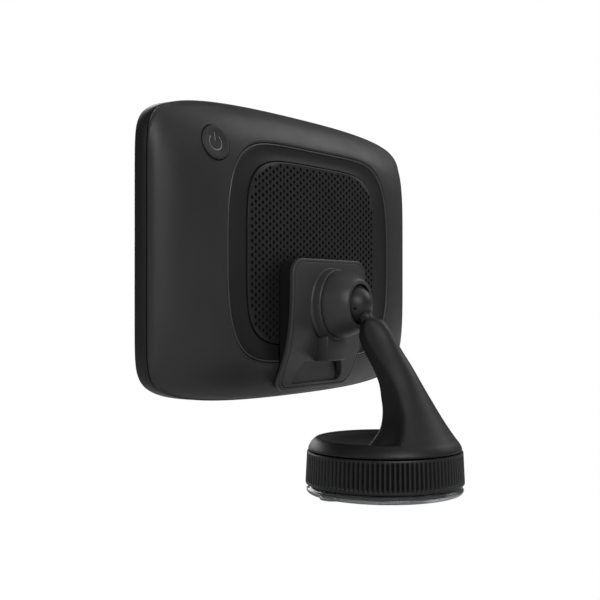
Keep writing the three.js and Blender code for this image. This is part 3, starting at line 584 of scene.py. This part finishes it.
def symbol_cutters(half_width=0.26, top=1 * MM):
    """The open circle and bar of the ordinary on/off mark, sunk into the key."""
    up, side = key_basis()
    stroke, radius, sink = half_width * MM, 2.3 * MM, 0.18 * MM

    def at(u, v, h):
        return KEY + side * u + up * v + KEY_AXIS * h

    arc = []
    for k in range(49):
        t = math.radians(38 + k * (284 / 48)) + math.pi / 2
        inner = (radius - stroke, t)
        outer = (radius + stroke, t)
        ring = [at(r * math.cos(a), r * math.sin(a), h)
                for (r, a), h in ((inner, -sink), (outer, -sink), (outer, top), (inner, top))]
        arc.append(ring)
    bar = []
    for v in (0.5 * MM, 3.2 * MM):
        bar.append([at(u, v, h) for u, h in ((-stroke, -sink), (stroke, -sink), (stroke, top),
                                              (-stroke, top))])
    return [skin("mark_arc", arc), skin("mark_bar", bar)]


def make_front_frame():
    """The dark band round the screen side, drawn as its profile: [inset in millimetres, y]."""
    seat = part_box("touch_glass")[1].y + 0.1 * MM
    shape = [(3.2, FRAME_BACK), (0.35, FRAME_BACK), (0.14, FRAME_BACK - 0.1 * MM),
             (0.04, FRAME_BACK - 0.35 * MM), (0.0, mix(FRAME_BACK, OUTLINE_Y, 0.5)), (0.0, OUTLINE_Y),
             (0.06, OUTLINE_Y - 0.25 * MM), (0.25, OUTLINE_Y - 0.5 * MM),
             (0.5, OUTLINE_Y - 0.64 * MM), (0.8, FRAME_FRONT), (1.15, FRAME_FRONT),
             (1.3, FRAME_FRONT + 0.15 * MM), (1.35, seat), (3.2, seat)]
    rings = [body_ring(BODY_A - i * MM, BODY_B - i * MM, *BODY_POWERS, y) for i, y in shape]
    rim = smooth(skin("front_rim", rings, closed=True), 40)
    return finish_piece(rim, "navigator", "trim_black", SLOTS["trim_black"], "front_frame")


def make_glass():
    """The cover glass and, a hair behind its face, the darker window of the display."""
    lo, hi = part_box("touch_glass")
    a, b = (hi.x - lo.x) / 2, (hi.z - lo.z) / 2
    rings = [body_ring(a, b, *BODY_POWERS, hi.y), body_ring(a, b, *BODY_POWERS, lo.y + 0.3 * MM)]
    for inset, out in ((0.06, 0.15), (0.22, 0.06), (0.5, 0.04)):
        rings.append(body_ring(a - inset * MM, b - inset * MM, *BODY_POWERS, lo.y + out * MM))
    glass = smooth(skin("screen_glass", rings), 40)
    finish_piece(glass, "navigator", "touch_glass", SLOTS["touch_glass"], "touch_glass")
    panes = [body_ring(wide * MM, tall * MM, *WINDOW_POWERS, lo.y + out * MM)
             for wide, tall, out in ((55.4, 33.2, 0.3), (55.4, 33.2, 0.03), (55.3, 33.1, 0.01))]
    window = smooth(skin("display_window", panes), 40)
    return finish_piece(window, "navigator", "display", SLOTS["display"])


# ---- dock ------------------------------------------------------------------
# rear face of the dock: [height, y], both in millimetres
DOCK_CURVE = [[30.2, -26.8], [33.6, -25.5], [36.6, -24.2], [40, -22.9], [44, -21.6], [49, -20.6],
              [55, -19.9], [62, -19.65], [73.6, -19.6]]
DOCK_CORNER = 5.5 * MM
DOCK_WALL = 1.5 * MM


def dock_y(z):
    return float(hermite(DOCK_CURVE, z / MM)[1]) * MM


def dock_ring(inset, drop, count=16):
    """The dock's rounded outline, pulled in by inset and sunk by drop from the rear face."""
    a = DOCK_HI.x - inset
    top, bottom = DOCK_HI.z - inset, DOCK_LO.z + inset
    r = max(DOCK_CORNER - inset, 0.4 * MM)
    points = []
    for cx, cz, start in ((a - r, top - r, 0), (r - a, top - r, 90), (r - a, bottom + r, 180),
                          (a - r, bottom + r, 270)):
        for k in range(count + 1):
            t = math.radians(start + 90 * k / count)
            points.append((cx + r * math.cos(t), cz + r * math.sin(t)))
    points = along_edges(points, count)
    return [(x, dock_y(z) - drop, z) for x, z in points]


def along_edges(points, corner):
    """Adds points on the straight runs between corners, so a curved face keeps its curve."""
    out = []
    per = corner + 1
    for c in range(4):
        run = points[c * per:(c + 1) * per]
        nxt = points[((c + 1) % 4) * per]
        out += run
        for k in range(1, 20):
            out.append((mix(run[-1][0], nxt[0], k / 20), mix(run[-1][1], nxt[1], k / 20)))
    return out


def make_dock_plate():
    """The dock's rear plate: a thin raised rim band, a groove inside it, and the pocket in its foot."""
    rim = [(12, DOCK_WALL), (0.3, DOCK_WALL), (0.0, DOCK_WALL - 0.2 * MM), (0.0, 0.5 * MM),
           (0.06, 0.22 * MM), (0.2, 0.06 * MM), (0.42, 0.0), (0.85, 0.0), (0.92, 0.04 * MM),
           (0.95, 0.3 * MM), (1.12, 0.3 * MM), (1.15, 0.04 * MM), (1.25, 0.0)]
    rings = [dock_ring(inset * MM, drop) for inset, drop in rim]
    rings += [dock_ring(i * MM, 0.0) for i in (2, 3.5, 5.5, 8, 10.5, 13, 15.5, 17.5, 19)]
    plate = skin("dock_plate", rings)
    carve(plate, pocket_cutter())
    smooth(plate, 35)
    return finish_piece(plate, "dock", "mount_black", DOCK_PLATE_LIT, "dock_rear_shell")


def pocket_outline(grow):
    """The pocket's rounded outline in millimetres, grown about its middle."""
    shape = [(-10.6, 40.2), (10.6, 40.2), (13.2, 37), (14.4, 34.3), (13.2, 33.2), (-13.2, 33.2),
             (-14.4, 34.3), (-13.2, 37)]
    start = mid(shape[-1], shape[0])
    loop = rounded([start] + shape + [start], 1.6, 5)[:-1]
    middle_z = 36.6
    return [(x * grow, middle_z + (z - middle_z) * grow) for x, z in loop]


def mid(a, b):
    return ((a[0] + b[0]) / 2, (a[1] + b[1]) / 2)


def pocket_cutter():
    """A plug that narrows inwards: [growth of the outline, depth under the dock's face in millimetres]."""
    rings = [[(x * MM, -10 * MM, z * MM) for x, z in pocket_outline(1.12)]]
    for grow, depth in ((1.03, -0.02), (1.0, 0.35), (0.94, 3)):
        rings.append([(x * MM, dock_y(z * MM) - depth * MM, z * MM) for x, z in pocket_outline(grow)])
    return skin("pocket", rings)


def make_pocket_floor():
    """The scooped floor behind the pocket's opening."""
    half, thick, steps = 14.6 * MM, 1 * MM, 12
    rings = []
    for k in range(steps + 1):
        z = mix(32.6, 41.0, k / steps) * MM
        depth = mix(0.6, 2.15, min(k / 8.4, 1) ** 0.8) * MM
        y = dock_y(z) - depth
        rings.append([(-half, y, z), (half, y, z), (half, y - thick, z), (-half, y - thick, z)])
    floor = smooth(skin("pocket_floor", rings), 40)
    return finish_piece(floor, "dock", "mount_black", SLOTS["mount_black"])


def make_flange():
    """The low round step of the dock that the collar stands on."""
    base = dock_y(BALL.z)
    rise = (COLLAR_FOOT_Y - 0.1 * MM - base) / MM
    profile = rounded([(8.6, -0.5), (12.1, -0.3), (11.75, 0.15), (11.45, 0.5), (11.3, rise - 0.35),
                       (11.0, rise), (8.6, rise), (8.6, -0.5)], 0.3, 4)
    profile = [(r * MM, h * MM) for r, h in profile]
    profile[-1] = profile[0]
    origin = Vector((0, base, BALL.z))
    flange = smooth(revolve("dock_flange", profile, origin, (0, 1, 0), 144), 30)
    return finish_piece(flange, "dock", "mount_black", DOCK_PLATE_LIT)


def make_usb_tunnel():
    """The boxed roof over the USB inlet, open towards the pocket below it."""
    half, bay_half = 5.6 * MM, 4.2 * MM
    front = dock_y(43 * MM) - 1.2 * MM
    tunnel = block("usb_tunnel", (-half, front, 40.2 * MM), (half, -17.4 * MM, BALL.z - 9.8 * MM))
    carve(tunnel, block("bay", (-bay_half, front - 1 * MM, 39 * MM), (bay_half, -18.3 * MM, 46 * MM)))
    bevel(tunnel, 0.5 * MM, 4)
    apply_modifiers(tunnel)
    smooth(tunnel, 40)
    return finish_piece(tunnel, "dock", "mount_black", DOCK_PLATE_LIT)


def make_collar():
    """The collar round the ball: a round seat, a thin lip and a bell-shaped outside down to the flange."""
    seat = BALL_R + 1.1 * MM
    foot = -16.6 * MM - BALL.y
    inner = []
    for k in range(9):
        y = 2.55 * MM * k / 8
        inner.append((math.sqrt(seat**2 - y**2), y))
    lip = [(7.02 * MM, 2.68 * MM), (7.4 * MM, 2.7 * MM)]
    outside = [(-8.72, 7.85), (-9.35, 8.35), (-10.3, 8.98), (-11.3, 9.5), (-12.4, 9.95),
               (-13.5, 10.32), (-14.6, 10.6), (-15.5, 10.8), (-16.2, 10.9), (-16.5, 10.82)]
    outer = [(r * MM, y * MM - BALL.y) for y, r in outside] + [(10.6 * MM, foot)]
    profile = [(seat, foot)] + inner + lip + outer + [(seat, foot)]
    collar = smooth(revolve("collar_shell", profile, BALL, (0, 1, 0), 144), 34)
    return finish_piece(collar, "dock", "mount_black", DOCK_PLATE_LIT, "socket_collar")


# ---- arm and base ----------------------------------------------------------
# [height, front y, corner x, corner y, ridge x, ridge y, back y, degrees], millimetres
ARM = [
    [13.7, -1, 13, 3, 18, 15.6, 23.7, 41], [15.4, 0, 12.5, 3, 17.4, 15.0, 22.9, 40.5],
    [17.2, 1.2, 11.6, 3.2, 16.3, 14.2, 21.7, 40], [18.8, 2.2, 10.6, 3.6, 15, 13.8, 20.6, 38],
    [21, 3.0, 9.7, 4.2, 13.2, 13.3, 19.2, 36], [24.6, 3.4, 9, 5, 10.7, 12.4, 17.0, 32],
    [29.4, 2.6, 7.8, 3.8, 8.6, 10.1, 14.3, 28], [34, 1.2, 6.6, 2.2, 7.2, 7.2, 11.8, 25],
    [38.8, -1.4, 5.9, -0.6, 6.5, 3.7, 9, 26], [43.6, -4.6, 5.3, -4, 5.9, -0.3, 5.8, 28],
    [47.6, -6.6, 4.9, -6.1, 5.4, -3.4, 3.3, 30], [50.6, -6.8, 4.4, -6.3, 5, -4.5, 1.4, 30],
    [52.4, -6.4, 3.9, -6, 4.5, -4.5, 0.0, 28], [53.6, -5.8, 3.4, -5.4, 4.0, -4.3, -1.2, 25],
]


def arm_section(height):
    _, front, cx, cy, rx, ry, back, lean = hermite(ARM, height)
    start = math.radians(lean)
    side = rounded([(0, front), (cx, mix(front, cy, 0.1)),
                    (mix(cx, rx, 0.06), mix(cy, ry, 0.1)), (rx, ry)], 2.2, 6)
    run = np.array(side)
    length = np.concatenate([[0], np.cumsum(np.hypot(*np.diff(run, axis=0).T))])
    even = np.linspace(0, length[-1], 26)
    half = list(zip(np.interp(even, length, run[:, 0]), np.interp(even, length, run[:, 1])))[1:]
    for t in np.linspace(start, math.pi / 2, 22)[1:-1]:
        half.append((rx * math.cos(t) / math.cos(start),
                     ry + (back - ry) * (math.sin(t) - math.sin(start)) / (1 - math.sin(start))))
    loop = [(0, front)] + half + [(0, back)] + [(-x, y) for x, y in reversed(half)]
    return [(x * MM, y * MM, height * MM) for x, y in loop]


def make_arm():
    """Cap and blade in one skin that flows from one to the other, hollow over the hub and the plunger."""
    hub_top, ring_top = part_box("base_hub")[1].z, RING_HI.z
    room_r, room = 3.5 * MM, 1.6 * MM
    cap_r, bore = RING_R - 0.8 * MM, RING_R - 3.8 * MM
    high = ring_top + 4.6 * MM
    profile = [
        (0, hub_top + room), (room_r, hub_top + room), (room_r, hub_top + 0.2 * MM),
        (bore, hub_top + 0.2 * MM), (bore, ring_top + 0.3 * MM), (cap_r, ring_top + 0.3 * MM),
        (cap_r, ring_top + 0.8 * MM), (cap_r - 0.5 * MM, ring_top + 1.9 * MM),
        (cap_r - 1.15 * MM, high - 1.7 * MM), (cap_r - 2.1 * MM, high - 0.8 * MM),
        (cap_r - 3.1 * MM, high - 0.45 * MM), (cap_r - 4.0 * MM, high - 0.7 * MM),
        (cap_r - 6 * MM, high - 1.9 * MM), (13 * MM, high - 2.7 * MM), (0, high - 2.9 * MM),
    ]
    arm = revolve("arm_shell", rounded(profile, 0.7 * MM), Vector((0, 0, 0)), (0, 0, 1), 144)
    heights = np.concatenate([np.linspace(13.9, 50.6, 74), np.linspace(51, 53.6, 12)])
    carve(arm, skin("blade", [arm_section(z) for z in heights]), "UNION")
    blend = arm.modifiers.new("blend", "REMESH")
    blend.mode = "VOXEL"
    blend.voxel_size = 0.36 * MM
    relax = arm.modifiers.new("relax", "SMOOTH")
    relax.factor = 0.5
    relax.iterations = 5
    apply_modifiers(arm)
    soften_foot(arm)
    smooth(arm, 60)
    return finish_piece(arm, "base", "mount_black", ARM_SHADED, "mount_arm")


def clamp(share):
    return min(max(share, 0), 1)


def soften_foot(arm):
    """Melts the arm's foot into the hollow of the cap, fading out towards rim and neck (millimetres)."""
    hollow, cap_top, neck, rim = 14.2, 18, 30, 21
    foot = arm.vertex_groups.new(name="foot")
    for v in arm.data.vertices:
        x, y, z = v.co / MM
        low = clamp(z - hollow) * clamp((neck - z) / 10)
        inside = clamp((rim - math.hypot(x, y)) / 2.5) if z < cap_top else 1.0
        foot.add([v.index], low * inside, "REPLACE")
    melt = arm.modifiers.new("melt", "SMOOTH")
    melt.factor = 0.7
    melt.iterations = 70
    melt.vertex_group = "foot"
    apply_modifiers(arm)


def make_ball():
    """The ball with its necked stem and the small round eye in its side."""
    profile = []
    for k in range(49):
        t = math.pi * k / 48
        profile.append((BALL_R * math.sin(t), -BALL_R * math.cos(t)))
    lo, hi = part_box("ball_stud")
    down = Vector((0, hi.y - BALL.y, lo.z - BALL.z)).normalized()
    ball = revolve("ball_and_neck", profile, BALL, down, 96)
    neck, foot = 1.8 * MM, 2.1 * MM
    stem = revolve("stem", [
        (0, 3 * MM), (neck, 3 * MM), (neck + 0.9 * MM, 5.6 * MM), (neck + 0.25 * MM, 6.3 * MM),
        (neck, 7.0 * MM), (neck, 8.4 * MM), (foot, 9 * MM), (foot, 10.6 * MM), (0, 10.6 * MM),
    ], BALL, down, 64)
    carve(ball, stem, "UNION")
    eye = Vector((0.83, 0.55, -0.2)).normalized()
    sunk, proud = BALL_R - 1.2 * MM, BALL_R + 1 * MM
    carve(ball, revolve("eye", [(0, sunk), (0.5 * MM, sunk), (0.62 * MM, proud), (0, proud)], BALL,
                        eye, 24))
    smooth(ball, 40)
    return finish_piece(ball, "base", "mount_black", SLOTS["mount_black"], "ball_stud")


RIB_COUNT = 104
RIB_DEPTH = 0.75 * MM


def rib_profile(phase):
    """0 on a rib's round crown, 1 at the bottom of the groove between two ribs."""
    x = abs(phase - 0.5) * 2
    return ((x - 0.38) / 0.62) ** 0.8 if x > 0.38 else 0.0


def make_ring():
    """The grip ring as stacked rings: [height, growth, both in millimetres, share of the groove's depth]."""
    per = 10  # points from one rib to the next
    lo, hi = RING_LO.z, RING_HI.z
    foot, head = RING_R, RING_R - 0.5 * MM
    levels = [(0.0, -1.0, 0.0), (0.0, -0.45, 0.0), (0.12, -0.12, 0.0), (0.4, 0.0, 0.0),
              (0.75, 0.0, 0.0), (0.95, 0.0, 0.35), (1.3, 0.0, 0.85), (1.8, 0.0, 1.0)]
    height = (hi - lo) / MM
    upper = [(height - 1.6, 0.0, 1.0), (height - 1.1, 0.0, 0.85), (height - 0.8, 0.0, 0.35),
             (height - 0.62, 0.0, 0.0), (height - 0.32, 0.0, 0.0), (height - 0.1, -0.12, 0.0),
             (height, -0.4, 0.0), (height, -1.0, 0.0)]
    middle = [(h, 0.0, 1.0) for h in np.linspace(2.6, height - 2.4, 4)]
    rings = []
    for h, grow, deep in levels + middle + upper:
        base = mix(foot, head, h / height) + grow * MM
        ring = []
        for i in range(RIB_COUNT * per):
            phase = (i % per) / per
            r = base - RIB_DEPTH * deep * rib_profile(phase)
            t = 2 * math.pi * i / (RIB_COUNT * per)
            ring.append((r * math.cos(t), r * math.sin(t), lo + h * MM))
        rings.append(ring)
    inner = RING_R - 3.4 * MM
    for z in (hi, lo):
        rings.append([(inner * math.cos(2 * math.pi * i / (RIB_COUNT * per)),
                       inner * math.sin(2 * math.pi * i / (RIB_COUNT * per)), z)
                      for i in range(RIB_COUNT * per)])
    ring = smooth(skin("grip_ring", rings, closed=True), 34)
    return finish_piece(ring, "ring", "rib_black", SLOTS["rib_black"], "twist_ring")


def make_pad():
    """The clear gel pad with its round pull tab."""
    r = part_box("suction_pad")[1].y
    profile = [(0, 0), (r - 1.6 * MM, 0), (r - 0.8 * MM, 0.1 * MM), (r - 0.25 * MM, 0.45 * MM), (r, 1.0 * MM),
               (r - 0.1 * MM, 1.4 * MM), (r - 0.5 * MM, 1.7 * MM), (r - 0.7 * MM, 2.0 * MM),
               (r - 1.2 * MM, PAD_T), (r - 5 * MM, PAD_T), (0, PAD_T)]
    pad = revolve("gel_pad", rounded(profile, 0.4 * MM, 3), Vector((0, 0, 0)), (0, 0, 1), 144)
    turn = math.radians(-13)
    reach = Vector((math.cos(turn), math.sin(turn), 0))
    tab = revolve("tab", rounded([(0, 0.4 * MM), (4 * MM, 0.4 * MM), (4 * MM, 1.5 * MM), (0, 1.5 * MM)],
                                 0.4 * MM), reach * (r - 1.6 * MM), (0, 0, 1), 64)
    carve(pad, tab, "UNION")
    smooth(pad, 40)
    return finish_piece(pad, "base", "gel_clear", SLOTS["gel_clear"], "suction_pad")


# ---- stage, light and camera -----------------------------------------------
def stage_material():
    """White paper: pure white to the camera, a matt pale grey to the light."""
    material = bpy.data.materials.new("paper")
    material.use_nodes = True
    tree = material.node_tree
    shader = tree.nodes["Principled BSDF"]
    shader.inputs["Base Color"].default_value = (0.82, 0.82, 0.82, 1)
    shader.inputs["Roughness"].default_value = 0.9
    glow = tree.nodes.new("ShaderNodeEmission")
    glow.inputs["Color"].default_value = (1, 1, 1, 1)
    glow.inputs["Strength"].default_value = 1.0
    path = tree.nodes.new("ShaderNodeLightPath")
    switch = tree.nodes.new("ShaderNodeMixShader")
    tree.links.new(path.outputs["Is Camera Ray"], switch.inputs[0])
    tree.links.new(shader.outputs[0], switch.inputs[1])
    tree.links.new(glow.outputs[0], switch.inputs[2])
    tree.links.new(switch.outputs[0], tree.nodes["Material Output"].inputs["Surface"])
    return material


def make_stage():
    """A wide floor just under the suction face."""
    reach = 3.0
    floor = mesh_object("floor", [(-reach, -reach, 0), (reach, -reach, 0), (reach, reach, 0),
                                  (-reach, reach, 0)], [(0, 1, 2, 3)])
    floor.location.z = -0.0002
    floor.data.materials.append(stage_material())


def make_world():
    """A dim even sky for the light on the object, plain white where the camera sees it."""
    world = bpy.data.worlds.new("studio")
    bpy.context.scene.world = world
    world.use_nodes = True
    tree = world.node_tree
    sky = tree.nodes["Background"]
    sky.inputs["Color"].default_value = (1, 1, 1, 1)
    sky.inputs["Strength"].default_value = 0.12
    seen = tree.nodes.new("ShaderNodeBackground")
    seen.inputs["Color"].default_value = (1, 1, 1, 1)
    seen.inputs["Strength"].default_value = 1.0
    path = tree.nodes.new("ShaderNodeLightPath")
    switch = tree.nodes.new("ShaderNodeMixShader")
    tree.links.new(path.outputs["Is Camera Ray"], switch.inputs[0])
    tree.links.new(sky.outputs[0], switch.inputs[1])
    tree.links.new(seen.outputs[0], switch.inputs[2])
    tree.links.new(switch.outputs[0], tree.nodes["World Output"].inputs["Surface"])


def area_light(name, place, aim, size, power):
    data = bpy.data.lights.new(name, "AREA")
    data.shape = "RECTANGLE"
    data.size, data.size_y = size
    data.energy = power
    light = bpy.data.objects.new(name, data)
    bpy.context.scene.collection.objects.link(light)
    light.location = place
    light.rotation_mode = "QUATERNION"
    light.rotation_quaternion = (Vector(aim) - Vector(place)).to_track_quat("-Z", "Y")


# soft boxes: name, place and size in metres, power in watts
LIGHT_AIM = (0.0, 0.0, 0.06)
LIGHTS = [
    ("key", (0.45, 0.7, 0.5), (0.6, 0.5), 5.0),
    ("high_rim", (-0.75, 0.3, 0.6), (0.5, 0.5), 1.7),
    ("overhead", (-0.15, 0.2, 0.85), (0.8, 0.6), 0.7),
    ("side_fill", (0.85, -0.15, 0.35), (0.5, 0.6), 0.6),
    ("screen_side", (-0.3, -0.8, 0.4), (0.7, 0.6), 4.0),
]


def make_lights():
    for name, place, size, power in LIGHTS:
        area_light(name, place, LIGHT_AIM, size, power)


# the camera's place in metres, its level heading in radians and its lens in millimetres
CAMERA_PLACE = (0.3027, 0.1696, 0.0596)
CAMERA_TURN = 0.984
CAMERA_LENS = 66.76


def make_camera():
    data = bpy.data.cameras.new("camera")
    data.sensor_width = 36
    data.lens = CAMERA_LENS
    camera = bpy.data.objects.new("camera", data)
    bpy.context.scene.collection.objects.link(camera)
    camera.location = CAMERA_PLACE
    heading = Vector((-math.sin(CAMERA_TURN), -math.cos(CAMERA_TURN), 0))
    camera.rotation_mode = "QUATERNION"
    camera.rotation_quaternion = heading.to_track_quat("-Z", "Y")
    data.clip_start, data.clip_end = 0.01, 20
    bpy.context.scene.camera = camera


def main():
    dress_frame()
    make_cover()
    make_recess_band()
    make_grille()
    make_key()
    make_front_frame()
    make_glass()
    make_dock_plate()
    make_pocket_floor()
    make_flange()
    make_usb_tunnel()
    make_collar()
    make_arm()
    make_ball()
    make_ring()
    make_pad()
    make_stage()
    make_world()
    make_lights()
    make_camera()
    bpy.context.scene.view_settings.view_transform = "Standard"


main()
